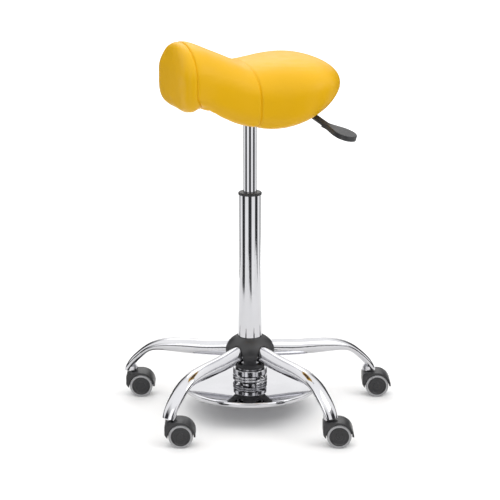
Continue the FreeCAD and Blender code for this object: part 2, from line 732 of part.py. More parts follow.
def hub_core():
    """The steel hub that the five tubes are welded to, with its neck and floor."""
    neck_radius = HUB_COVER_FOOT_RADIUS - HUB_COVER_WALL - HUB_NECK_GAP
    body = ring(HUB_RADIUS, STANDPIPE_RADIUS, HUB_NECK_TOP, HUB_TOP)
    neck = ring(neck_radius, STANDPIPE_RADIUS, STANDPIPE_BOTTOM, HUB_NECK_TOP)
    floor = ring(neck_radius, ROD_RADIUS + HUB_FLOOR_CLEARANCE, HUB_BOTTOM, STANDPIPE_BOTTOM)
    return body.fuse(neck).fuse(floor).removeSplitter()


def cover_outline(inset):
    """The hub cover's dome and tapering skirt as (radius, height), from the rim down."""
    rim = SLEEVE_FOOT_RADIUS + HUB_COVER_RIM_GAP
    reach = HUB_COVER_RADIUS - inset
    start = math.acos(rim / reach)
    rise = (HUB_COVER_TOP - HUB_COVER_WIDEST) / math.sin(math.acos(rim / HUB_COVER_RADIUS)) - inset
    foot = HUB_COVER_FOOT_RADIUS - inset
    foot_low = HUB_BOTTOM + HUB_COVER_FOOT_RISE
    drop = HUB_COVER_WIDEST - foot_low
    dome = []
    for step in range(HUB_COVER_STEPS + 1):
        angle = start * (1 - step / HUB_COVER_STEPS)
        dome.append((reach * math.cos(angle), HUB_COVER_WIDEST + rise * math.sin(angle)))
    skirt = []
    for step in range(1, HUB_COVER_STEPS + 1):
        share = step / HUB_COVER_STEPS
        blend = (1 + math.cos(math.pi * share)) / 2
        skirt.append((foot + (reach - foot) * blend, HUB_COVER_WIDEST - drop * share))
    return dome + skirt


def hub_cover():
    """The moulded shell over the hub, with an arched opening round each tube."""
    cover = turned(cover_outline(0) + cover_outline(HUB_COVER_WALL)[::-1])
    centre = Vector(0, 0, LEG_RUN[0][1] - LEG_OPENING_DROP / 2)
    half_height = LEG_RUN[0][2] + LEG_OPENING_GAP + LEG_OPENING_DROP / 2
    half_width = LEG_RUN[0][3] + LEG_OPENING_GAP
    arch = Part.Face(oval_wire(centre, AXIS_Y, UP, half_width, half_height))
    opening = arch.extrude(AXIS_X * (HUB_COVER_RADIUS + HUB_RADIUS))
    for azimuth in leg_azimuths():
        cover = cover.cut(turned_copy(opening, azimuth))
    return cover


def leg_azimuths():
    return [LEG_AZIMUTH + 360 * index / LEG_COUNT for index in range(LEG_COUNT)]


# ---- foot disc ----

def foot_disc():
    low = DISC_TOP - DISC_RIM_HEIGHT
    outer = [
        (0, DISC_TOP),
        (DISC_RADIUS - DISC_EDGE_ROUND, DISC_TOP),
        (DISC_RADIUS - DISC_EDGE_CHAMFER, DISC_TOP - DISC_EDGE_CHAMFER),
        (DISC_RADIUS, DISC_TOP - DISC_EDGE_ROUND),
        (DISC_RADIUS, low),
    ]
    sheet = DISC_SHEET
    inner = [
        (DISC_RADIUS - sheet, low),
        (DISC_RADIUS - sheet, DISC_TOP - DISC_EDGE_ROUND),
        (DISC_RADIUS - sheet - DISC_INNER_CHAMFER, DISC_TOP - sheet - DISC_INNER_CHAMFER),
        (DISC_RADIUS - DISC_EDGE_ROUND, DISC_TOP - sheet),
        (0, DISC_TOP - sheet),
    ]
    return turned(outer + inner)


def disc_boss():
    """The cup on the disc that turns on the rocker's ball face."""
    socket = Part.makeSphere(ROCKER_RADIUS + RUNNING_GAP, Vector(0, 0, ROCKER_CENTRE))
    body = cylinder(BOSS_RADIUS, DISC_TOP, BOSS_TOP)
    flange = cylinder(SPRING_RADIUS - SPRING_WIRE / 2 - SLACK_GAP, DISC_TOP, DISC_TOP + BOSS_FLANGE_THICKNESS)
    mouth = cylinder(ROCKER_RADIUS - BOSS_MOUTH_LIP, DISC_TOP - CUT_OVERRUN, BOSS_TOP + CUT_OVERRUN)
    return body.fuse(flange).removeSplitter().cut(socket).cut(mouth)


def rocker_ring():
    ball = Part.makeSphere(ROCKER_RADIUS, Vector(0, 0, ROCKER_CENTRE))
    low = ROCKER_CENTRE - ROCKER_HEIGHT / 2
    band = cylinder(ROCKER_RADIUS + 1, low, low + ROCKER_HEIGHT)
    return ball.common(band).cut(cylinder(POST_RADIUS + ROCKER_BORE_GAP, low - 1, low + ROCKER_HEIGHT + 1))


def return_spring():
    """The round-wire coil between the disc and the collar, lofted through its wire sections."""
    low = DISC_TOP + SPRING_WIRE / 2 + SPRING_SEAT_GAP
    along = Vector(0, 2 * math.pi * SPRING_RADIUS, SPRING_PITCH).normalize()
    section = Part.Wire([Part.makeCircle(SPRING_WIRE / 2, Vector(SPRING_RADIUS, 0, low), along)])
    steps = int(SPRING_SECTIONS_PER_TURN * SPRING_TURNS)
    wires = []
    for step in range(steps + 1):
        turn = step / SPRING_SECTIONS_PER_TURN
        wires.append(moved(turned_copy(section, 360 * turn), UP * (SPRING_PITCH * turn)))
    return Part.makeLoft(wires, True, False)


def release_collar():
    """The plated cup under the hub, with the hollow post that carries the rocker."""
    cup = cylinder(COLLAR_RADIUS, COLLAR_BOTTOM, HUB_BOTTOM)
    top = [edge for edge in cup.Edges if edge.Closed and abs(edge.CenterOfMass.z - HUB_BOTTOM) < 0.01]
    cup = cup.makeFillet(COLLAR_ROUND, top)
    inside = cylinder(COLLAR_RADIUS - COLLAR_WALL, COLLAR_BOTTOM - CUT_OVERRUN, HUB_BOTTOM - COLLAR_WALL)
    cup = cup.cut(inside)
    post_low = ROCKER_CENTRE - ROCKER_HEIGHT / 2 - POST_OVERHANG
    post = cylinder(POST_RADIUS, post_low, HUB_BOTTOM)
    bore = cylinder(POST_BORE, post_low - CUT_OVERRUN, HUB_BOTTOM + CUT_OVERRUN)
    return cup.fuse(post).removeSplitter().cut(bore)


def release_plunger():
    """The push rod that the rocking disc lifts, with the valve needle on top."""
    shoulder = HUB_BOTTOM - PLUNGER_SHOULDER_DROP
    body = cylinder(PLUNGER_RADIUS, DISC_TOP + PLUNGER_DISC_GAP, shoulder)
    needle = cylinder(NEEDLE_RADIUS, shoulder, STANDPIPE_BOTTOM + NEEDLE_REACH)
    return body.fuse(needle).removeSplitter()


# ---- casters: made with the stem on Z and the wheels trailing along +X ----

def hood():
    """The plastic body: a fender over both wheels, a nose round the stem and a web between."""
    centre = Vector(CASTER_TRAIL, 0, WHEEL_RADIUS)
    half = WEB_HALF_THICKNESS + WEB_GAP + WHEEL_WIDTH + HOOD_SIDE_MARGIN
    fender = Part.makeCylinder(HOOD_RADIUS, 2 * half, centre - AXIS_Y * half, AXIS_Y)
    reach = 2 * HOOD_RADIUS
    upper_half = box((-reach, -reach, WHEEL_RADIUS), (CASTER_TRAIL + reach, reach, HOOD_TOP))
    fender = fender.common(upper_half)
    nose = hood_nose(half)
    boss_start = centre - AXIS_Y * WEB_HALF_THICKNESS
    hub = Part.makeCylinder(AXLE_BOSS_RADIUS, 2 * WEB_HALF_THICKNESS, boss_start, AXIS_Y)
    body = fender.fuse(nose).fuse(hub)
    for side in (-1, 1):
        start = centre + AXIS_Y * (side * WEB_HALF_THICKNESS)
        arch = Part.makeCylinder(WHEEL_RADIUS + HOOD_WHEEL_GAP, reach, start, AXIS_Y * side)
        body = body.cut(arch)
    axle_hole = Part.makeCylinder(AXLE_RADIUS, 2 * reach, centre - AXIS_Y * reach, AXIS_Y)
    stem_hole = cylinder(STEM_ROOT_DIAMETER / 2, stem_root(), HOOD_TOP + CUT_OVERRUN)
    return body.cut(axle_hole).cut(stem_hole).removeSplitter()


def stem_root():
    return HOOD_TOP - STEM_ROOT_DEPTH


def hood_nose(half):
    front = CASTER_TRAIL - HOOD_NOSE_LENGTH
    corners = [
        (CASTER_TRAIL, HOOD_TOP),
        (front + 8, HOOD_TOP),
        (front + 2, HOOD_TOP - 3),
        (front, HOOD_TOP - 8),
        (front, WHEEL_RADIUS + 4),
        (front + 5, WHEEL_RADIUS - 3),
        (CASTER_TRAIL, WHEEL_RADIUS - 3),
    ]
    points = [Vector(x, -half, z) for x, z in corners]
    face = Part.Face(Part.makePolygon(points + points[:1]))
    return face.extrude(AXIS_Y * (2 * half))


def caster_pins():
    """The swivel stem and the wheel axle."""
    root = cylinder(STEM_ROOT_DIAMETER / 2, stem_root(), HOOD_TOP)
    stem = cylinder(STEM_RADIUS, HOOD_TOP, BUSH_BOTTOM + STEM_LENGTH - 2 * STEM_END_GAP)
    reach = WEB_HALF_THICKNESS + WEB_GAP + WHEEL_WIDTH - AXLE_END_INSET
    start = Vector(CASTER_TRAIL, -reach, WHEEL_RADIUS)
    axle = Part.makeCylinder(AXLE_RADIUS, 2 * reach, start, AXIS_Y)
    return Part.makeCompound([root.fuse(stem).removeSplitter(), axle])


def wheel_solid(profile, side):
    """A turned part about the axle from (radius, distance outwards from the web) corners."""
    first = side * (WEB_HALF_THICKNESS + WEB_GAP)
    points = [Vector(CASTER_TRAIL + radius, first + side * out, WHEEL_RADIUS) for radius, out in profile]
    face = Part.Face(Part.makePolygon(points + points[:1]))
    return face.revolve(Vector(CASTER_TRAIL, 0, WHEEL_RADIUS), AXIS_Y, 360)


def wheel_core(side):
    rim = WHEEL_RADIUS - TREAD_THICKNESS
    bore = AXLE_RADIUS + RUNNING_GAP
    dish = WHEEL_WIDTH - WHEEL_DISH_DEPTH
    profile = [
        (0, WHEEL_WIDTH - 2.0),
        (bore, WHEEL_WIDTH - 2.0),
        (bore, 0),
        (rim, 0),
        (rim, WHEEL_WIDTH),
        (rim - 2.5, WHEEL_WIDTH),
        (rim - 4.0, dish),
        (8.0, dish),
        (7.0, WHEEL_WIDTH),
        (0, WHEEL_WIDTH),
    ]
    return wheel_solid(profile, side)


def wheel_tread(side):
    rim = WHEEL_RADIUS - TREAD_THICKNESS
    soft = WHEEL_EDGE_RADIUS
    profile = [
        (rim, 0),
        (WHEEL_RADIUS - soft, 0),
        (WHEEL_RADIUS - 0.3 * soft, 0.3 * soft),
        (WHEEL_RADIUS, soft),
        (WHEEL_RADIUS, WHEEL_WIDTH - soft),
        (WHEEL_RADIUS - 0.3 * soft, WHEEL_WIDTH - 0.3 * soft),
        (WHEEL_RADIUS - soft, WHEEL_WIDTH),
        (rim, WHEEL_WIDTH),
    ]
    return wheel_solid(profile, side)


def caster_pieces():
    return {
        "hood": hood(),
        "pins": caster_pins(),
        "wheel_left": wheel_core(1),
        "wheel_right": wheel_core(-1),
        "tread_left": wheel_tread(1),
        "tread_right": wheel_tread(-1),
    }


def save_base():
    save("hub_core", hub_core())
    save("hub_cover", hub_cover())
    save("release_collar", release_collar())
    one_leg = leg()
    one_bush = caster_bush()
    pieces = caster_pieces()
    bushes = []
    for number, azimuth in enumerate(leg_azimuths(), start=1):
        save(f"leg_{number}", turned_copy(one_leg, azimuth))
        bushes.append(turned_copy(one_bush, azimuth))
        place = heading(azimuth) * CASTER_CIRCLE_RADIUS
        for name, piece in pieces.items():
            save(f"caster_{number}_{name}", moved(turned_copy(piece, CASTER_HEADING), place))
    save("caster_bushes", Part.makeCompound(bushes))


def save_column():
    save("column_sleeve", column_sleeve())
    save("standpipe", standpipe())
    save("guide_bush", guide_bush())
    save("gas_cylinder", gas_cylinder())
    save("rod_guide", rod_guide())
    save("piston_rod", piston_rod())
    save("thrust_bearing", thrust_bearing())


def save_disc():
    save("foot_disc", foot_disc())
    save("disc_boss", disc_boss())
    save("rocker_ring", rocker_ring())
    save("return_spring", return_spring())
    save("release_plunger", release_plunger())


def save_seat():
    save("seat_board", seat_board())
    save("seat_foam", seat_foam())
    save("seat_cover", cover_panels())
    save("seat_plate", seat_plate())
    save("seat_screws", seat_screws())
    save("tilt_bracket", tilt_bracket())
    save("tilt_pin", tilt_pin())
    save("lever_rod", lever_rod())
    save("lever_paddle", lever_paddle())


os.makedirs("parts", exist_ok=True)
save_base()
save_column()
save_disc()
save_seat()
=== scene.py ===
import json
import math

import bmesh
import bpy
from bpy.props import FloatProperty, FloatVectorProperty, IntProperty, PointerProperty
from mathutils import Matrix, Vector


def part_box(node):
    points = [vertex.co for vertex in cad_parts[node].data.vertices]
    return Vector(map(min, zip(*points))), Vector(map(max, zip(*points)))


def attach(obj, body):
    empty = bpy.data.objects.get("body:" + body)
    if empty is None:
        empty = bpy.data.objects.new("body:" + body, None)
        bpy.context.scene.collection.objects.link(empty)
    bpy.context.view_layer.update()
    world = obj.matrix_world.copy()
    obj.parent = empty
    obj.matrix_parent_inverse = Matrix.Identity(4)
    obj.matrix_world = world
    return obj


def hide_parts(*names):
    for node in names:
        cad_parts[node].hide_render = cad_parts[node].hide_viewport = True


bl_info = {
    "name": "Saddle Stool",
    "version": (1, 0, 0),
    "blender": (4, 5, 0),
    "location": "View3D > Sidebar > Saddle Stool",
    "description": "Models and finishes a swivel saddle stool around its packed frame",
    "category": "Object",
}

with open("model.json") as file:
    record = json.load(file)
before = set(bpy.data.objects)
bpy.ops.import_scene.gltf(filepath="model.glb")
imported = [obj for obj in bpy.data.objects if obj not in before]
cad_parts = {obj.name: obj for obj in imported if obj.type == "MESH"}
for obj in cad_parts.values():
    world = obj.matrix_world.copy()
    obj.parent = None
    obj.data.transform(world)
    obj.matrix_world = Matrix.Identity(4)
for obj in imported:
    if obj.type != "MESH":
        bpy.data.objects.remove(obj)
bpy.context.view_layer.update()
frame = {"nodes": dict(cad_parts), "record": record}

CASTERS = range(1, 6)
SIDES = ("left", "right")
ROLL_HEADING = math.radians(160)

# The two cross seams of the cover: their places along the seat, and how the front one sweeps
# rearwards below a height, over a drop, within a reach behind it.
FRONT_SEAM = -0.146
MIDDLE_SEAM = -0.022
SEAMS = (FRONT_SEAM, MIDDLE_SEAM)
SEAM_SWEEP = 0.018
SEAM_SWEEP_TOP = 0.702
SEAM_SWEEP_DROP = 0.036
SEAM_SWEEP_REACH = 0.075
SEAM_SWEEP_FADE = 0.045
SEAM_ROWS = (-0.0046, -0.0022, 0.0, 0.0022, 0.0046)
SEAM_REACH = 0.012
GROOVE_WIDTH = 0.0016
VALLEY_WIDTH = 0.006
VALLEY_SHARE = 0.28

# The hollow under the seat.
POCKET_HALF_WIDTH = 0.087
POCKET_ENDS = (-0.116, 0.120)
POCKET_ROOF = 0.712

# The nose: where its dome begins behind the front seam, how fast it comes in, how much further
# its padding stands out, and the height above which it stands out no more.
NOSE_START = FRONT_SEAM + 0.012
NOSE_SMOOTH_FADE = 0.018
NOSE_PLUMP_FADE = 0.030
NOSE_SMOOTHING = 22
NOSE_PLUMPNESS = 1.4
NOSE_PLUMP_TOP = 0.740
NOSE_PLUMP_TOP_FADE = 0.035
CROWN_FLATTENING = 1.3

# The cloth that fills the cover.
CLOTH_QUALITY = 4
CLOTH_STIFFNESS = 25
CLOTH_FRAMES = 20

# The lever's grip, which broadens after a neck, both as shares of its length.
LEVER_HEADING = math.radians(35)
LEVER_WAY = Vector((math.cos(LEVER_HEADING), math.sin(LEVER_HEADING), 0))
PADDLE_WIDENING = 0.32
PADDLE_NECK = 0.22
PADDLE_FADE = 0.45
PADDLE_MESH = 0.0009
PADDLE_SMOOTHING = 7

# The outer tube of the column: its radii, the height of its flare, and its slots.
SLEEVE_FOOT = 0.0254
SLEEVE_TOP = 0.0226
SLEEVE_WALL = 0.0015
SLEEVE_FLARE = 0.175
SLEEVE_STEPS = 16
SLOT_COUNT = 9
SLOT_SIZE = (0.012, 0.0018, 0.019)
SLOT_MIDDLE = 0.0075

# The foot disc's hollow underside.
DISC_RIM = 0.0016
DISC_SHEET = 0.0020
DISC_LIP = 0.0005

# A wheel, about its own axle.
WHEEL_WIDTH = 0.015
TREAD_RADIUS = 0.025
TREAD_BORE = 0.020
TREAD_SHOULDER = 0.0026
CORE_RADIUS = 0.01995
CORE_BORE = 0.00325
FACE_DISH = 0.0015
CAP_RADIUS = 0.0030
CAP_DEPTH = 0.0024
CAP_MIDDLE = 0.0137
CAP_TOP = 0.01489
CAP_ROUND = 0.0006

# The stage: the lamps as name, place, height aimed at, size and power, and the camera.
LAMPS = (
    ("key_light", (1.6, 1.6, 2.6), 0.45, (1.6, 1.6), 16),
    ("fill_light", (2.2, -2.4, 1.8), 0.45, (2.0, 2.0), 8),
    ("back_light", (-2.2, 0.4, 2.4), 0.5, (1.8, 1.2), 8),
)
FLOOR_SIZE = 2.1
CAMERA_HEADING = math.radians(70)
CAMERA_TILT = math.radians(75.04)
CAMERA_LENS = 118.6
SENSOR_WIDTH = 36

# The surroundings: dark bands round the room, a dark line at eye level and a white ceiling.
BAND_COUNT = 5.0
BAND_TURN = 0.17
BAND_DARK = (0.34, (0.035, 0.035, 0.038, 1))
BAND_LIGHT = (0.60, (0.92, 0.92, 0.92, 1))
CEILING_FROM = 0.42
CEILING_FULL = 0.75
HORIZON_START = 0.44
HORIZON_STOPS = ((0.47, 0.05), (0.53, 0.05), (0.585, 1.0))
WORLD_STRENGTH = 1.45
WHITE = (1.0, 1.0, 1.0, 1)


class SeatSettings(bpy.types.PropertyGroup):
    color: FloatVectorProperty(
        name="Vinyl colour", description="Colour of the cover", subtype="COLOR", size=4,
        default=(0.80, 0.440, 0.003, 1.0), min=0, max=1)
    voxel: FloatProperty(
        name="Mesh pitch", description="Pitch of the cushion's mesh", default=0.005, unit="LENGTH")
    pressure: FloatProperty(
        name="Fill pressure", description="How hard the foam fills the cover", default=4.0)
    swell: FloatProperty(
        name="Largest swell", description="How far the cover may rise", default=0.0022, unit="LENGTH")
    seam_depth: FloatProperty(
        name="Seam depth", description="How deep a seam pulls in", default=0.0024, unit="LENGTH")
    plumpness: FloatProperty(
        name="Plumpness", description="How far the padding stands out", default=0.0022, unit="LENGTH")


class MetalSettings(bpy.types.PropertyGroup):
    chrome: FloatVectorProperty(
        name="Chrome colour", description="Colour of the plating", subtype="COLOR", size=4,
        default=(0.58, 0.58, 0.60, 1.0), min=0, max=1)
    steel: FloatVectorProperty(
        name="Steel colour", description="Colour of turned steel", subtype="COLOR", size=4,
        default=(0.50, 0.50, 0.52, 1.0), min=0, max=1)
    disc_rounding: FloatProperty(
        name="Disc edge", description="Rounding of the foot disc's edge", default=0.0036, unit="LENGTH")


class PlasticSettings(bpy.types.PropertyGroup):
    black: FloatVectorProperty(
        name="Plastic colour", description="Colour of the mouldings", subtype="COLOR", size=4,
        default=(0.024, 0.024, 0.026, 1.0), min=0, max=1)
    tread: FloatVectorProperty(
        name="Tread colour", description="Colour of the soft treads", subtype="COLOR", size=4,
        default=(0.36, 0.36, 0.37, 1.0), min=0, max=1)
    edge: FloatProperty(
        name="Edge rounding", description="Rounding of moulded edges", default=0.0007, unit="LENGTH")
    segments: IntProperty(
        name="Wheel segments", description="Faces round a wheel", default=96, min=24)


class StageSettings(bpy.types.PropertyGroup):
    floor: FloatVectorProperty(
        name="Floor colour", description="Colour of the floor", subtype="COLOR", size=4,
        default=(0.93, 0.93, 0.93, 1.0), min=0, max=1)
    distance: FloatProperty(
        name="Camera distance", description="Level distance from the column", default=3.361,
        unit="LENGTH")
    height: FloatProperty(
        name="Camera height", description="Height above the floor", default=1.250, unit="LENGTH")


# ---- shared modelling steps ----

def clear_selection():
    if bpy.context.object and bpy.context.object.mode != "OBJECT":
        bpy.ops.object.mode_set(mode="OBJECT")
    bpy.ops.object.select_all(action="DESELECT")


def make_active(piece):
    clear_selection()
    piece.select_set(True)
    bpy.context.view_layer.objects.active = piece


def named(name):
    piece = bpy.context.object
    piece.name = name
    piece.data.name = name
    return piece


def pick(piece, test, kind="FACE"):
    """Selects the faces or edges that a test on their middle and normal accepts, in edit mode."""
    mesh = bmesh.from_edit_mesh(piece.data)
    bpy.context.tool_settings.mesh_select_mode = (False, kind == "EDGE", kind == "FACE")
    for item in list(mesh.verts) + list(mesh.edges) + list(mesh.faces):
        item.select = False
    if kind == "FACE":
        for face in mesh.faces:
            face.select_set(test(face.calc_center_median(), face.normal))
    else:
        for edge in mesh.edges:
            edge.select_set(test((edge.verts[0].co + edge.verts[1].co) / 2, edge))
    mesh.select_flush_mode()
    bmesh.update_edit_mesh(piece.data)


def edit(piece):
    make_active(piece)
    bpy.ops.object.mode_set(mode="EDIT")


def apply_modifier(piece, kind, **settings):
    make_active(piece)
    modifier = piece.modifiers.new(kind.title(), kind)
    for key, value in settings.items():
        setattr(modifier, key, value)
    bpy.ops.object.modifier_apply(modifier=modifier.name)


def smooth(piece, degrees=32):
    make_active(piece)
    bpy.ops.object.shade_smooth_by_angle(angle=math.radians(degrees))
    return piece


def settle(piece):
    """Puts a piece's place and turn into its mesh."""
    make_active(piece)
    bpy.ops.object.transform_apply(location=True, rotation=True, scale=True)
    return piece


def merged_copy(node, name):
    """A copy of a CAD node's mesh with its loose triangles joined."""
    source = frame["nodes"][node]
    mesh = source.data.copy()
    piece = bpy.data.objects.new(name, mesh)
    bpy.context.scene.collection.objects.link(piece)
    edit(piece)
    bpy.ops.mesh.select_all(action="SELECT")
    bpy.ops.mesh.remove_doubles(threshold=0.00002)
    bpy.ops.object.mode_set(mode="OBJECT")
    mesh.name = name
    if mesh.has_custom_normals:
        bpy.ops.mesh.customdata_custom_splitnormals_clear()
    return piece


def rounded_copy(node, name, width, segments=3):
    """A merged copy of a CAD node with its sharp edges rounded."""
    piece = merged_copy(node, name)
    edit(piece)
    bpy.ops.mesh.select_all(action="SELECT")
    bpy.ops.mesh.dissolve_limited(angle_limit=math.radians(0.6))
    bpy.ops.object.mode_set(mode="OBJECT")
    apply_modifier(piece, "BEVEL", width=width, segments=segments, limit_method="ANGLE",
                   angle_limit=math.radians(34), use_clamp_overlap=True, miter_outer="MITER_ARC")
    return smooth(piece)


def place_piece(piece, body, slot, material, *nodes):
    piece.data.materials.clear()
    piece.data.materials.append(material)
    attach(piece, body)
    if nodes:
        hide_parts(*nodes)
    return piece


def extrude_profile(piece, profile):
    """Carries a selected top ring or face up a profile of (radius, height), by extrude and resize."""
    radius, height = profile[0]
    for next_radius, next_height in profile[1:]:
        bpy.ops.mesh.extrude_region_move(
            TRANSFORM_OT_translate={"value": (0, 0, next_height - height)})
        scale = next_radius / radius
        bpy.ops.transform.resize(value=(scale, scale, 1), center_override=(0, 0, next_height))
        radius, height = next_radius, next_height


# ---- materials ----

class Finish:
    """A procedural material on Object coordinates, built node by node."""

    def __init__(self, name, **sockets):
        self.material = bpy.data.materials.new(name)
        self.material.use_nodes = True
        self.tree = self.material.node_tree
        self.shader = self.tree.nodes["Principled BSDF"]
        for key, value in sockets.items():
            self.shader.inputs[key.replace("_", " ")].default_value = value
        self.place = self.tree.nodes.new("ShaderNodeTexCoord").outputs["Object"]

    def noise(self, scale, detail=4.0, roughness=0.55, stretch=None):
        node = self.tree.nodes.new("ShaderNodeTexNoise")
        node.inputs["Scale"].default_value = scale
        node.inputs["Detail"].default_value = detail
        node.inputs["Roughness"].default_value = roughness
        source = self.place
        if stretch:
            mapping = self.tree.nodes.new("ShaderNodeMapping")
            mapping.inputs["Scale"].default_value = stretch
            self.tree.links.new(source, mapping.inputs["Vector"])
            source = mapping.outputs["Vector"]
        self.tree.links.new(source, node.inputs["Vector"])
        return node.outputs["Fac"]

    def cells(self, scale):
        node = self.tree.nodes.new("ShaderNodeTexVoronoi")
        node.feature = "DISTANCE_TO_EDGE"
        node.inputs["Scale"].default_value = scale
        self.tree.links.new(self.place, node.inputs["Vector"])
        return node.outputs["Distance"]

    def spread(self, factor, low, high, near=0.3, far=0.7):
        node = self.tree.nodes.new("ShaderNodeMapRange")
        limits = {"From Min": near, "From Max": far, "To Min": low, "To Max": high}
        for key, value in limits.items():
            node.inputs[key].default_value = value
        self.tree.links.new(factor, node.inputs["Value"])
        return node.outputs["Result"]

    def ramp(self, factor, low, high, near=0.35, far=0.65):
        node = self.tree.nodes.new("ShaderNodeValToRGB")
        node.color_ramp.elements[0].position = near
        node.color_ramp.elements[1].position = far
        node.color_ramp.elements[0].color = low
        node.color_ramp.elements[1].color = high
        self.tree.links.new(factor, node.inputs["Fac"])
        return node.outputs["Color"]

    def feed(self, output, socket):
        self.tree.links.new(output, self.shader.inputs[socket])
        return self

    def bump(self, height, strength, distance, under=None):
        node = self.tree.nodes.new("ShaderNodeBump")
        node.inputs["Strength"].default_value = strength
        node.inputs["Distance"].default_value = distance
        self.tree.links.new(height, node.inputs["Height"])
        if under:
            self.tree.links.new(under, node.inputs["Normal"])
        return node.outputs["Normal"]


def shade(color, share):
    return tuple(channel * share for channel in color[:3]) + (1.0,)


def chrome_finish(name, color, rough=0.045):
    finish = Finish(name, Metallic=1.0)
    smudge = finish.noise(14, 5)
    finish.feed(finish.ramp(smudge, shade(color, 0.93), color), "Base Color")
    finish.feed(finish.spread(smudge, rough, rough * 2.2), "Roughness")
    waves = finish.noise(60, 2)
    return finish.feed(finish.bump(waves, 0.05, 0.0002), "Normal").material


def turned_finish(name, color, rough=0.26):
    finish = Finish(name, Metallic=1.0)
    rings = finish.noise(18, 6, stretch=(1, 1, 60))
    finish.feed(finish.ramp(rings, shade(color, 0.82), color), "Base Color")
    finish.feed(finish.spread(rings, rough * 0.8, rough * 1.4), "Roughness")
    return finish.feed(finish.bump(rings, 0.18, 0.0002), "Normal").material


def moulded_finish(name, color, rough=0.42, grain=900):
    finish = Finish(name)
    patches = finish.noise(30, 4)
    finish.feed(finish.ramp(patches, shade(color, 0.85), shade(color, 1.15)), "Base Color")
    finish.feed(finish.spread(patches, rough * 0.85, rough * 1.15), "Roughness")
    texture = finish.bump(finish.noise(grain, 2), 0.25, 0.00015)
    return finish.feed(texture, "Normal").material


def vinyl_finish(color):
    finish = Finish("yellow_vinyl_cover", Specular_IOR_Level=0.22)
    broad = finish.noise(7, 3)
    finish.feed(finish.ramp(broad, shade(color, 0.965), color), "Base Color")
    finish.feed(finish.spread(finish.noise(45, 4), 0.36, 0.46), "Roughness")
    leather = finish.bump(finish.cells(520), 0.16, 0.0003)
    pores = finish.bump(finish.noise(1400, 2), 0.10, 0.0001, leather)
    return finish.feed(pores, "Normal").material


def wood_finish():
    finish = Finish("sealed_birch_ply")
    grain = finish.noise(22, 8, 0.65, stretch=(1, 14, 60))
    finish.feed(finish.ramp(grain, (0.36, 0.23, 0.12, 1), (0.60, 0.44, 0.27, 1)), "Base Color")
    finish.feed(finish.spread(grain, 0.45, 0.65), "Roughness")
    return finish.feed(finish.bump(grain, 0.3, 0.0003), "Normal").material


def powder_finish():
    finish = Finish("black_powder_coat")
    peel = finish.noise(650, 3)
    finish.feed(finish.ramp(peel, (0.016, 0.016, 0.017, 1), (0.030, 0.030, 0.032, 1)), "Base Color")
    finish.feed(finish.spread(peel, 0.34, 0.48), "Roughness")
    return finish.feed(finish.bump(peel, 0.35, 0.0002), "Normal").material


def tread_finish(color):
    finish = Finish("soft_grey_tread")
    dust = finish.noise(90, 6)
    finish.feed(finish.ramp(dust, shade(color, 0.86), color), "Base Color")
    finish.feed(finish.spread(dust, 0.55, 0.75), "Roughness")
    return finish.feed(finish.bump(finish.noise(700, 3), 0.3, 0.0002), "Normal").material


def finish_library():
    """Every finish of the stool, made once."""
    metal, plastic = bpy.context.scene.stool_metal, bpy.context.scene.stool_plastic
    if "yellow_vinyl_cover" in bpy.data.materials:
        return bpy.data.materials
    vinyl_finish(bpy.context.scene.stool_seat.color)
    chrome_finish("bright_chrome_tube", metal.chrome)
    chrome_finish("polished_foot_disc", metal.chrome, 0.028)
    chrome_finish("plated_trim", shade(metal.chrome, 0.95), 0.06)
    chrome_finish("plated_spring_wire", shade(metal.chrome, 0.92), 0.10)
    turned_finish("turned_steel", metal.steel)
    moulded_finish("black_moulding", plastic.black)
    moulded_finish("caster_nylon", shade(plastic.black, 0.85), 0.38, 700)
    tread_finish(plastic.tread)
    powder_finish()
    wood_finish()
    return bpy.data.materials


# ---- seat ----

def in_pocket(place):
    """True inside the hollow under the seat, where the cover is held to the board."""
    within_x = abs(place.x) < POCKET_HALF_WIDTH
    within_y = POCKET_ENDS[0] < place.y < POCKET_ENDS[1]
    return within_x and within_y and place.z < POCKET_ROOF


def swell_cushion(piece, settings):
    """Fills the cover by cloth simulation, then limits how far each point has moved."""
    start = [vertex.co.copy() for vertex in piece.data.vertices]
    held = piece.vertex_groups.new(name="held")
    held.add([v.index for v in piece.data.vertices if in_pocket(v.co)], 1.0, "REPLACE")
    make_active(piece)
    cloth = piece.modifiers.new("Cloth", "CLOTH")
    cloth.settings.use_pressure = True
    cloth.settings.uniform_pressure_force = settings.pressure
    cloth.settings.vertex_group_mass = "held"
    cloth.settings.effector_weights.gravity = 0
    cloth.settings.quality = CLOTH_QUALITY
    cloth.settings.tension_stiffness = CLOTH_STIFFNESS
    cloth.settings.compression_stiffness = CLOTH_STIFFNESS
    cloth.point_cache.frame_start = 1
    cloth.point_cache.frame_end = CLOTH_FRAMES
    for step in range(1, CLOTH_FRAMES + 1):
        bpy.context.scene.frame_set(step)
    bpy.ops.object.modifier_apply(modifier=cloth.name)
    bpy.context.scene.frame_set(1)
    for vertex, place in zip(piece.data.vertices, start):
        shift = vertex.co - place
        if shift.length > settings.swell:
            vertex.co = place + shift.normalized() * settings.swell
    piece.vertex_groups.clear()


def ease(share):
    share = min(max(share, 0.0), 1.0)
    return share * share * (3 - 2 * share)


def seam_sweep(place):
    """How far back the front seam runs at this place: it sweeps rearwards near the lower edge."""
    near_front = ease((FRONT_SEAM + SEAM_SWEEP_REACH - place.y) / SEAM_SWEEP_FADE)
    return SEAM_SWEEP * ease((SEAM_SWEEP_TOP - place.z) / SEAM_SWEEP_DROP) * near_front


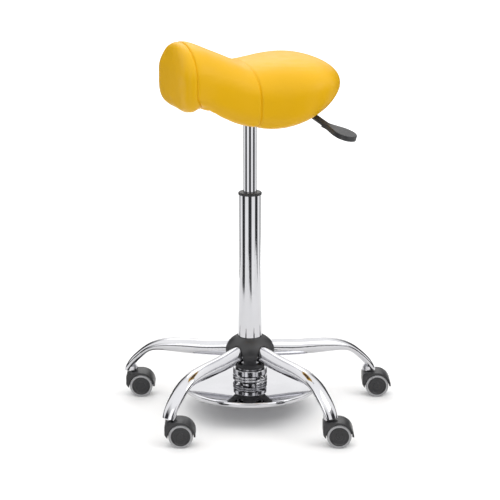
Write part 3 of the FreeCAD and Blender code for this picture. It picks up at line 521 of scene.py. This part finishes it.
def cut_seam_rows(piece):
    """Lays edge rows beside and on each seam. Returns each point's place along the seat, unswept."""
    shifts = [seam_sweep(vertex.co) for vertex in piece.data.vertices]
    for vertex, shift in zip(piece.data.vertices, shifts):
        vertex.co.y -= shift
    edit(piece)
    for seam in SEAMS:
        for offset in SEAM_ROWS:
            bpy.ops.mesh.select_all(action="SELECT")
            bpy.ops.mesh.bisect(plane_co=(0, seam + offset, 0), plane_no=(0, 1, 0))
    bpy.ops.object.mode_set(mode="OBJECT")
    rows = [vertex.co.y for vertex in piece.data.vertices]
    for vertex, row in zip(piece.data.vertices, rows):
        place = vertex.co.copy()
        for _ in range(8):
            place.y = row + seam_sweep(place)
        vertex.co.y = place.y
    return rows


def pull_seams_in(piece, depth, rows):
    normals = [vertex.normal.copy() for vertex in piece.data.vertices]
    for vertex, normal, row in zip(piece.data.vertices, normals, rows):
        if in_pocket(vertex.co):
            continue
        for seam in SEAMS:
            away = abs(row - seam)
            if away < SEAM_REACH:
                groove = math.exp(-(away / GROOVE_WIDTH) ** 2)
                valley = VALLEY_SHARE * math.exp(-(away / VALLEY_WIDTH) ** 2)
                vertex.co -= normal * (depth * (groove + valley))


def round_nose(piece):
    """Softens the front panel to a shallow dome."""
    nose = piece.vertex_groups.new(name="nose")
    for vertex in piece.data.vertices:
        weight = ease((NOSE_START - vertex.co.y) / NOSE_SMOOTH_FADE)
        nose.add([vertex.index], weight, "REPLACE")
    apply_modifier(piece, "SMOOTH", factor=0.5, iterations=NOSE_SMOOTHING, vertex_group="nose")
    piece.vertex_groups.clear()


def plump_out(piece, height):
    """Stands the padding out, most at the nose, least on the crown and none inside the pocket."""
    normals = [vertex.normal.copy() for vertex in piece.data.vertices]
    for vertex, normal in zip(piece.data.vertices, normals):
        if in_pocket(vertex.co):
            continue
        nose = ease((NOSE_START - vertex.co.y) / NOSE_PLUMP_FADE)
        nose *= 1.0 - ease((vertex.co.z - NOSE_PLUMP_TOP) / NOSE_PLUMP_TOP_FADE)
        crown = max(normal.z, 0.0)
        share = 1.0 - CROWN_FLATTENING * crown * crown + NOSE_PLUMPNESS * nose
        vertex.co += normal * (height * share)


class STOOL_OT_seat_cushion(bpy.types.Operator):
    """Model the padded saddle: its cover filled by simulation, with two sewn cross seams"""
    bl_idname = "stool.seat_cushion"
    bl_label = "Seat Cushion"

    def execute(self, context):
        settings = context.scene.stool_seat
        piece = merged_copy("seat_foam", "saddle_cushion")
        skin = merged_copy("seat_cover", "saddle_skin")
        make_active(piece)
        skin.select_set(True)
        bpy.ops.object.join()
        apply_modifier(piece, "REMESH", mode="VOXEL", voxel_size=settings.voxel)
        apply_modifier(piece, "SMOOTH", factor=0.5, iterations=2)
        round_nose(piece)
        swell_cushion(piece, settings)
        plump_out(piece, settings.plumpness)
        apply_modifier(piece, "SUBSURF", levels=1, render_levels=1)
        rows = cut_seam_rows(piece)
        pull_seams_in(piece, settings.seam_depth, rows)
        smooth(piece, 60)
        vinyl = finish_library()["yellow_vinyl_cover"]
        place_piece(piece, "seat", "yellow_vinyl", vinyl, "seat_cover", "seat_foam")
        return {"FINISHED"}


# ---- foot disc ----

class STOOL_OT_foot_disc(bpy.types.Operator):
    """Model the spun foot disc with its rounded edge and hollow underside"""
    bl_idname = "stool.foot_disc"
    bl_label = "Foot Disc"

    def execute(self, context):
        low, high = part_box("foot_disc")
        radius, height = high.x, high.z - low.z
        clear_selection()
        bpy.ops.mesh.primitive_cylinder_add(
            vertices=192, radius=radius, depth=height, end_fill_type="NGON",
            location=(0, 0, (low.z + high.z) / 2))
        piece = settle(named("polished_disc"))
        edit(piece)
        pick(piece, lambda middle, edge: middle.z > high.z - 0.0001, "EDGE")
        rounding = context.scene.stool_metal.disc_rounding
        bpy.ops.mesh.bevel(offset=rounding, segments=6, affect="EDGES")
        pick(piece, lambda middle, normal: normal.z < -0.9 and middle.z < low.z + 0.0001)
        bpy.ops.mesh.inset(thickness=DISC_RIM)
        bpy.ops.mesh.extrude_region_move(
            TRANSFORM_OT_translate={"value": (0, 0, height - DISC_SHEET)})
        pick(piece, lambda middle, edge: middle.z < low.z + 0.0001, "EDGE")
        bpy.ops.mesh.bevel(offset=DISC_LIP, segments=3, affect="EDGES")
        bpy.ops.object.mode_set(mode="OBJECT")
        smooth(piece)
        polished = finish_library()["polished_foot_disc"]
        place_piece(piece, "disc", "mirror_disc", polished, "foot_disc")
        return {"FINISHED"}


# ---- column ----

class STOOL_OT_column_sleeve(bpy.types.Operator):
    """Model the flared outer tube of the column, with slots at its foot"""
    bl_idname = "stool.column_sleeve"
    bl_label = "Column Sleeve"

    def execute(self, context):
        low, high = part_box("column_sleeve")
        clear_selection()
        bpy.ops.mesh.primitive_circle_add(
            vertices=108, radius=SLEEVE_FOOT, fill_type="NOTHING", location=(0, 0, low.z))
        piece = settle(named("flared_sleeve"))
        edit(piece)
        bpy.ops.mesh.select_all(action="SELECT")
        profile = [(SLEEVE_FOOT, low.z)]
        for step in range(1, SLEEVE_STEPS + 1):
            share = step / SLEEVE_STEPS
            radius = SLEEVE_FOOT - (SLEEVE_FOOT - SLEEVE_TOP) * ease(share)
            profile.append((radius, low.z + SLEEVE_FLARE * share))
        profile.append((SLEEVE_TOP, high.z))
        extrude_profile(piece, profile)
        bpy.ops.object.mode_set(mode="OBJECT")
        apply_modifier(piece, "SOLIDIFY", thickness=SLEEVE_WALL, offset=-1)
        edit(piece)
        bpy.ops.mesh.select_all(action="SELECT")
        bpy.ops.mesh.normals_make_consistent(inside=False)
        bpy.ops.object.mode_set(mode="OBJECT")
        self.cut_slots(piece, low.z)
        smooth(piece)
        chrome = finish_library()["bright_chrome_tube"]
        place_piece(piece, "base", "chrome_tube", chrome, "column_sleeve")
        return {"FINISHED"}

    def cut_slots(self, piece, foot_z):
        """Nine narrow slots at the foot, which let it spring over the hub."""
        blades = []
        for index in range(SLOT_COUNT):
            clear_selection()
            bpy.ops.mesh.primitive_cube_add(size=1)
            blade = bpy.context.object
            turn = Matrix.Rotation(2 * math.pi * index / SLOT_COUNT, 4, "Z")
            place = Matrix.Translation((SLEEVE_FOOT, 0, foot_z + SLOT_MIDDLE))
            size = Matrix.Diagonal((*SLOT_SIZE, 1))
            blade.data.transform(turn @ place @ size)
            blades.append(blade)
        make_active(blades[0])
        for blade in blades[1:]:
            blade.select_set(True)
        bpy.ops.object.join()
        cutter = bpy.context.object
        apply_modifier(piece, "BOOLEAN", object=cutter, operation="DIFFERENCE", solver="EXACT")
        bpy.data.objects.remove(cutter)


# ---- casters ----

def lathe_wheel(name, profile, segments):
    """A ring or disc about Z from (radius, height) corners, closed round its own section."""
    clear_selection()
    radius, height = profile[0]
    bpy.ops.mesh.primitive_circle_add(
        vertices=segments, radius=radius, fill_type="NOTHING", location=(0, 0, height))
    piece = settle(named(name))
    edit(piece)
    bpy.ops.mesh.select_all(action="SELECT")
    extrude_profile(piece, profile + profile[:1])
    bpy.ops.mesh.select_all(action="SELECT")
    bpy.ops.mesh.remove_doubles(threshold=0.000005)
    bpy.ops.mesh.normals_make_consistent(inside=False)
    bpy.ops.object.mode_set(mode="OBJECT")
    return piece


def tread_profile():
    """The tread's section, with round shoulders and a shallow step by the bore on one face."""
    rim, width, soft = TREAD_BORE, WHEEL_WIDTH, TREAD_SHOULDER
    crown = TREAD_RADIUS - soft
    corners = [(rim, 0.0), (crown, 0.0)]
    corners += [(crown + soft * math.sin(a), soft - soft * math.cos(a)) for a in quarter_turn()]
    corners += [(crown + soft * math.cos(a), width - soft + soft * math.sin(a)) for a in quarter_turn()]
    corners += [(rim + 0.0012, width), (rim + 0.0009, width - 0.0004), (rim, width - 0.0004)]
    return corners


def quarter_turn(steps=6):
    return [math.pi / 2 * step / steps for step in range(1, steps + 1)]


def core_profile():
    """The wheel's section: rim lip, dished face, raised ring and centre boss."""
    rim, bore, width = CORE_RADIUS, CORE_BORE, WHEEL_WIDTH
    face = width - FACE_DISH
    return [
        (bore, 0.0), (rim, 0.0), (rim, width - 0.0003), (rim - 0.0003, width),
        (rim - 0.0022, width), (rim - 0.0026, width - 0.0003), (rim - 0.0038, face),
        (0.0128, face), (0.0125, face + 0.0004), (0.0116, face + 0.0004), (0.0113, face),
        (0.0082, face), (0.0077, face + 0.0004), (0.0072, width - 0.0001), (0.0066, width),
        (bore, width),
    ]


def wheel_cap(segments=48):
    """The domed cap that closes the axle's hole."""
    clear_selection()
    bpy.ops.mesh.primitive_cylinder_add(
        vertices=segments, radius=CAP_RADIUS, depth=CAP_DEPTH, end_fill_type="NGON",
        location=(0, 0, CAP_MIDDLE))
    piece = settle(named("axle_cap"))
    edit(piece)
    pick(piece, lambda middle, edge: middle.z > CAP_TOP, "EDGE")
    bpy.ops.mesh.bevel(offset=CAP_ROUND, segments=4, affect="EDGES")
    bpy.ops.object.mode_set(mode="OBJECT")
    return piece


def roll_way():
    """The way the axles point."""
    return Vector((math.cos(ROLL_HEADING), math.sin(ROLL_HEADING), 0))


def wheel_matrix(node, side):
    """Puts a wheel that was modelled about Z on its axle, with its outer face outwards."""
    low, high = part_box(node)
    centre = (low + high) / 2
    outward = roll_way()
    if side == "right":
        outward = -outward
    turn = outward.to_track_quat("Z", "Y").to_matrix().to_4x4()
    return Matrix.Translation(centre) @ turn @ Matrix.Translation((0, 0, -WHEEL_WIDTH / 2))


def outward_side(number, side):
    """Whether a named wheel lies on the left or the right of its hood's web."""
    wheel = sum(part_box(f"caster_{number}_wheel_{side}"), Vector()) / 2
    pair = sum(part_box(f"caster_{number}_hood"), Vector()) / 2
    return "left" if (wheel - pair).dot(roll_way()) > 0 else "right"


def placed_copy(source, name, matrix):
    piece = source.copy()
    piece.data = source.data.copy()
    piece.name = name
    piece.data.name = name
    piece.data.transform(matrix)
    bpy.context.scene.collection.objects.link(piece)
    return piece


class STOOL_OT_caster_wheels(bpy.types.Operator):
    """Model one wheel with its tread, and set ten of each on the axles"""
    bl_idname = "stool.caster_wheels"
    bl_label = "Caster Wheels"

    def execute(self, context):
        finishes = finish_library()
        segments = context.scene.stool_plastic.segments
        tread = smooth(lathe_wheel("tread_pattern", tread_profile(), segments))
        core = lathe_wheel("wheel_pattern", core_profile(), segments)
        cap = wheel_cap()
        make_active(core)
        cap.select_set(True)
        bpy.ops.object.join()
        core = smooth(core)
        for number in CASTERS:
            for side in SIDES:
                core_node = f"caster_{number}_wheel_{side}"
                tread_node = f"caster_{number}_tread_{side}"
                matrix = wheel_matrix(core_node, outward_side(number, side))
                body = f"caster_{number}_{side}"
                wheel = placed_copy(core, f"wheel_{number}_{side}", matrix)
                place_piece(wheel, body, "caster_plastic", finishes["caster_nylon"], core_node)
                band = placed_copy(tread, f"tread_{number}_{side}", matrix)
                place_piece(band, body, "grey_tread", finishes["soft_grey_tread"], tread_node)
        bpy.data.objects.remove(core)
        bpy.data.objects.remove(tread)
        return {"FINISHED"}


class STOOL_OT_caster_hoods(bpy.types.Operator):
    """Round the moulded edges of the five caster bodies"""
    bl_idname = "stool.caster_hoods"
    bl_label = "Caster Hoods"

    def execute(self, context):
        nylon = finish_library()["caster_nylon"]
        width = context.scene.stool_plastic.edge
        for number in CASTERS:
            piece = rounded_copy(f"caster_{number}_hood", f"hood_{number}", width)
            place_piece(piece, f"caster_{number}", "caster_plastic", nylon, f"caster_{number}_hood")
        return {"FINISHED"}


class STOOL_OT_hub_cover(bpy.types.Operator):
    """Round the openings and rims of the moulded hub cover"""
    bl_idname = "stool.hub_cover"
    bl_label = "Hub Cover"

    def execute(self, context):
        piece = rounded_copy("hub_cover", "domed_hub_cover", context.scene.stool_plastic.edge)
        place_piece(piece, "base", "black_plastic", finish_library()["black_moulding"], "hub_cover")
        return {"FINISHED"}


class STOOL_OT_lever_paddle(bpy.types.Operator):
    """Soften the moulded grip of the lever to a smooth teardrop"""
    bl_idname = "stool.lever_paddle"
    bl_label = "Lever Paddle"

    def execute(self, context):
        piece = merged_copy("lever_paddle", "lever_grip")
        apply_modifier(piece, "REMESH", mode="VOXEL", voxel_size=PADDLE_MESH)
        apply_modifier(piece, "SMOOTH", factor=0.5, iterations=PADDLE_SMOOTHING)
        self.widen(piece)
        smooth(piece, 60)
        moulding = finish_library()["black_moulding"]
        place_piece(piece, "lever", "black_plastic", moulding, "lever_paddle")
        return {"FINISHED"}

    def widen(self, piece):
        """Broadens the blade from its neck outwards."""
        low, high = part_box("lever_paddle")
        reach = [vertex.co.dot(LEVER_WAY) for vertex in piece.data.vertices]
        start, length = min(reach), max(reach) - min(reach)
        across = LEVER_WAY.cross(Vector((0, 0, 1)))
        middle = ((low + high) / 2).dot(across)
        for vertex, place in zip(piece.data.vertices, reach):
            share = ease(((place - start) / length - PADDLE_NECK) / PADDLE_FADE)
            offset = vertex.co.dot(across) - middle
            vertex.co += across * (offset * PADDLE_WIDENING * share)


# ---- finishes of the pieces that keep their CAD shape ----

SLOT_FINISHES = {
    "chrome_tube": "bright_chrome_tube",
    "mirror_disc": "polished_foot_disc",
    "chrome_trim": "plated_trim",
    "spring_steel": "plated_spring_wire",
    "machined_steel": "turned_steel",
    "black_pressed_steel": "black_powder_coat",
    "black_plastic": "black_moulding",
    "caster_plastic": "caster_nylon",
    "grey_tread": "soft_grey_tread",
    "yellow_vinyl": "yellow_vinyl_cover",
    "seat_foam": "yellow_vinyl_cover",
    "plywood": "sealed_birch_ply",
}


class STOOL_OT_finishes(bpy.types.Operator):
    """Give every piece that keeps its CAD shape its detailed finish"""
    bl_idname = "stool.finishes"
    bl_label = "Finishes"

    def execute(self, context):
        finishes = finish_library()
        slots = {part["node"]: part["material_slot"] for part in frame["record"]["subparts"]}
        for name, node in frame["nodes"].items():
            for holder in node.material_slots:
                holder.material = finishes[SLOT_FINISHES[slots[name]]]
        return {"FINISHED"}


# ---- stage ----

def joined(tree, kind, links, operation=None, **values):
    """A new node with its linked inputs, its operation and its fixed inputs set."""
    node = tree.nodes.new(kind)
    if operation:
        node.operation = operation
    for socket, source in links.items():
        tree.links.new(source, node.inputs[socket])
    for socket, value in values.items():
        node.inputs[socket.replace("_", " ")].default_value = value
    return node


def blended(tree, factor, first, second, blend_type="MIX"):
    """A colour mix. The factor and the second colour are a number or colour, or an output."""
    node = tree.nodes.new("ShaderNodeMix")
    node.data_type = "RGBA"
    node.blend_type = blend_type
    for socket, source in (("Factor", factor), (6, first), (7, second)):
        if isinstance(source, bpy.types.NodeSocket):
            tree.links.new(source, node.inputs[socket])
        else:
            node.inputs[socket].default_value = source
    return node.outputs[2]


def band_colours(tree, east, north):
    """Dark and light bands that follow each other round the room."""
    angle = joined(tree, "ShaderNodeMath", {0: north, 1: east}, "ARCTAN2")
    turns = joined(tree, "ShaderNodeMath", {0: angle.outputs[0]}, "MULTIPLY_ADD")
    turns.inputs[1].default_value = BAND_COUNT
    turns.inputs[2].default_value = BAND_TURN
    wave = joined(tree, "ShaderNodeMath", {0: turns.outputs[0]}, "SINE")
    share = joined(tree, "ShaderNodeMapRange", {"Value": wave.outputs[0]}, From_Min=-1.0)
    ramp = joined(tree, "ShaderNodeValToRGB", {"Fac": share.outputs["Result"]})
    for stop, (place, color) in zip(ramp.color_ramp.elements, (BAND_DARK, BAND_LIGHT)):
        stop.position, stop.color = place, color
    return ramp.outputs["Color"]


def horizon_shade(tree, height):
    """Dark at eye level and white above and below it."""
    level = joined(tree, "ShaderNodeMapRange", {"Value": height}, From_Min=-1.0)
    ramp = joined(tree, "ShaderNodeValToRGB", {"Fac": level.outputs["Result"]})
    for place, share in HORIZON_STOPS:
        stop = ramp.color_ramp.elements.new(place)
        stop.color = (share, share, share, 1)
    ramp.color_ramp.elements[0].position = HORIZON_START
    ramp.color_ramp.elements[0].color = WHITE
    return ramp.outputs["Color"]


def studio_world(scene):
    """A pale room with broad soft bands, so that plated parts have something to mirror."""
    world = bpy.data.worlds.new("pale_studio")
    world.use_nodes = True
    scene.world = world
    tree = world.node_tree
    direction = tree.nodes.new("ShaderNodeTexCoord").outputs["Generated"]
    east, north, height = joined(tree, "ShaderNodeSeparateXYZ", {0: direction}).outputs
    ceiling = joined(
        tree, "ShaderNodeMapRange", {"Value": height}, From_Min=CEILING_FROM, From_Max=CEILING_FULL)
    room = blended(tree, ceiling.outputs["Result"], band_colours(tree, east, north), WHITE)
    room = blended(tree, 1.0, room, horizon_shade(tree, height), "MULTIPLY")
    seen = tree.nodes.new("ShaderNodeLightPath").outputs["Is Camera Ray"]
    background = tree.nodes["Background"]
    tree.links.new(blended(tree, seen, room, WHITE), background.inputs["Color"])
    background.inputs["Strength"].default_value = WORLD_STRENGTH


def soft_light(name, place, target, size, power):
    data = bpy.data.lights.new(name, "AREA")
    data.shape = "RECTANGLE"
    data.size, data.size_y = size
    data.energy = power
    lamp = bpy.data.objects.new(name, data)
    lamp.location = place
    aim = Vector(target) - Vector(place)
    lamp.rotation_euler = aim.to_track_quat("-Z", "Y").to_euler()
    bpy.context.scene.collection.objects.link(lamp)


class STOOL_OT_stage(bpy.types.Operator):
    """Set the pale floor, the soft lights and the camera"""
    bl_idname = "stool.stage"
    bl_label = "Stage"

    def execute(self, context):
        scene, settings = context.scene, context.scene.stool_stage
        clear_selection()
        bpy.ops.mesh.primitive_plane_add(size=FLOOR_SIZE, location=(0, 0, 0))
        floor = named("studio_floor")
        surface = Finish("pale_floor", Roughness=0.85)
        worn = surface.ramp(surface.noise(3, 2), shade(settings.floor, 0.985), settings.floor)
        surface.feed(worn, "Base Color")
        floor.data.materials.append(surface.material)
        studio_world(scene)
        for name, place, height, size, power in LAMPS:
            soft_light(name, place, (0, 0, height), size, power)
        data = bpy.data.cameras.new("view_camera")
        data.lens, data.sensor_width = CAMERA_LENS, SENSOR_WIDTH
        camera = bpy.data.objects.new("view_camera", data)
        across = settings.distance * math.sin(CAMERA_HEADING)
        ahead = -settings.distance * math.cos(CAMERA_HEADING)
        camera.location = (across, ahead, settings.height)
        camera.rotation_euler = (CAMERA_TILT, 0, CAMERA_HEADING)
        scene.collection.objects.link(camera)
        scene.camera = camera
        scene.view_settings.view_transform = "Standard"
        return {"FINISHED"}


class STOOL_PT_panel(bpy.types.Panel):
    """Lists the steps that build the stool"""
    bl_idname = "STOOL_PT_panel"
    bl_label = "Saddle Stool"
    bl_space_type = "VIEW_3D"
    bl_region_type = "UI"
    bl_category = "Saddle Stool"

    def draw(self, context):
        for step in STEPS:
            self.layout.operator(step.bl_idname)
        for group in ("stool_seat", "stool_metal", "stool_plastic", "stool_stage"):
            settings = getattr(context.scene, group)
            box = self.layout.box()
            for name in settings.__annotations__:
                box.prop(settings, name)


STEPS = (
    STOOL_OT_seat_cushion,
    STOOL_OT_foot_disc,
    STOOL_OT_column_sleeve,
    STOOL_OT_caster_wheels,
    STOOL_OT_caster_hoods,
    STOOL_OT_hub_cover,
    STOOL_OT_lever_paddle,
    STOOL_OT_finishes,
    STOOL_OT_stage,
)
GROUPS = {
    "stool_seat": SeatSettings,
    "stool_metal": MetalSettings,
    "stool_plastic": PlasticSettings,
    "stool_stage": StageSettings,
}


def register():
    for kind in (*GROUPS.values(), *STEPS, STOOL_PT_panel):
        bpy.utils.register_class(kind)
    for name, kind in GROUPS.items():
        setattr(bpy.types.Scene, name, PointerProperty(type=kind))


def unregister():
    for name in GROUPS:
        delattr(bpy.types.Scene, name)
    for kind in (STOOL_PT_panel, *reversed(STEPS), *GROUPS.values()):
        bpy.utils.unregister_class(kind)


def main():
    register()
    for step in STEPS:
        group, name = step.bl_idname.split(".")
        getattr(getattr(bpy.ops, group), name)()


if __name__ == "__main__":
    main()
